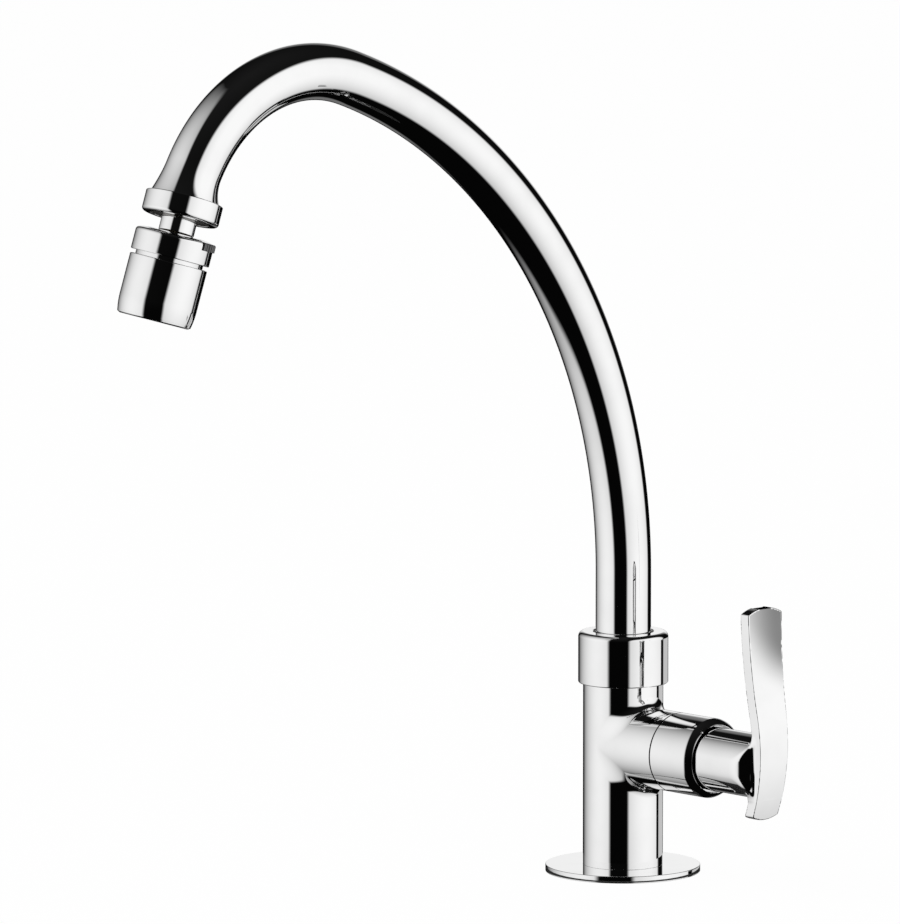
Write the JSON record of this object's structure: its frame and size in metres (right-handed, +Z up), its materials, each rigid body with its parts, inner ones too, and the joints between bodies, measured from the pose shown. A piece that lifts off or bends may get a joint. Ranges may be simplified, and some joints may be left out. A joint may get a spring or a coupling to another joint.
{
  "type": "gooseneck bar faucet",
  "caption": "Deck-mounted single-supply tap with a swivelling high-arch spout, a quarter-turn side lever and a ball-jointed spray head, in polished chrome.",
  "frame": {"origin": "on the body's upright axis, at the deck's top face, which is the underside of the round base disc", "axes": "+Z up along the body's axis; -Y the way the spout points at rest, towards the user; +X along the valve's axis, towards the lever, on the user's right"},
  "size_m": [0.1012, 0.2504, 0.3479],
  "materials": {
    "polished_chrome": "mirror-polished chrome plate on brass",
    "raw_brass": "as machined",
    "stainless_steel": "plain",
    "black_rubber": "matt",
    "white_nylon": "satin",
    "white_ceramic": "lapped",
    "black_plastic": "satin"
  },
  "bodies": {
    "base": {"escutcheon": "polished_chrome", "deck_gasket": "black_rubber", "base_o_ring": "black_rubber", "body": "polished_chrome", "inlet_shank": "raw_brass", "clamp_gasket": "black_rubber", "clamp_washer": "stainless_steel", "lock_nut": "raw_brass", "spout_nut": "polished_chrome", "thrust_washer": "white_nylon", "slip_ring": "white_nylon", "cartridge_housing": "raw_brass", "cartridge_gasket": "black_rubber", "seat_seal": "black_rubber", "fixed_disc": "white_ceramic", "bonnet_sleeve": "polished_chrome"},
    "valve": {"lever": "polished_chrome", "spline_insert": "raw_brass", "set_screw": "stainless_steel", "spindle": "raw_brass", "moving_disc": "white_ceramic", "spindle_washer": "white_nylon", "spindle_o_rings": "black_rubber", "spindle_clip": "stainless_steel"},
    "spout": {"spout_tube": "polished_chrome", "spout_tail": "raw_brass", "spout_o_rings": "black_rubber", "spout_end_ring": "polished_chrome", "stem_retainer": "raw_brass"},
    "stem": {"ball_stem": "polished_chrome", "stem_o_ring": "black_rubber", "stem_washer": "white_nylon"},
    "head": {"head_collar": "polished_chrome", "ball_seat": "white_nylon", "grip_tab": "polished_chrome", "snap_ring": "stainless_steel"},
    "spray": {"barrel": "polished_chrome", "ball_seal": "black_rubber", "aerator_washer": "black_rubber", "flow_regulator": "black_plastic", "aerator_cage": "white_nylon", "aerator_screens": "stainless_steel", "spray_plate": "black_plastic"}
  },
  "joints": [
    {"name": "lever_turn", "type": "hinge", "parent": "base", "child": "valve", "pos_m": [0.046, 0, 0.0445], "axis": [1, 0, 0], "range_deg": [0, 90]},
    {"name": "spout_swivel", "type": "hinge", "parent": "base", "child": "spout", "pos_m": [0, 0, 0.075], "axis": [0, 0, 1], "continuous": true},
    {"name": "stem_spin", "type": "hinge", "parent": "spout", "child": "stem", "pos_m": [0, -0.2008, 0.24458], "axis": [0, -0.3289, -0.9444], "continuous": true},
    {"name": "head_tilt", "type": "hinge", "parent": "stem", "child": "head", "pos_m": [0, -0.2056, 0.23079], "axis": [0.6293, 0.7339, -0.2556], "range_deg": [-20.6, 9.4]},
    {"name": "jet_change", "type": "hinge", "parent": "head", "child": "spray", "pos_m": [0, -0.2056, 0.23079], "axis": [-0.0758, -0.2693, -0.9601], "range_deg": [0, 90]}
  ]
}
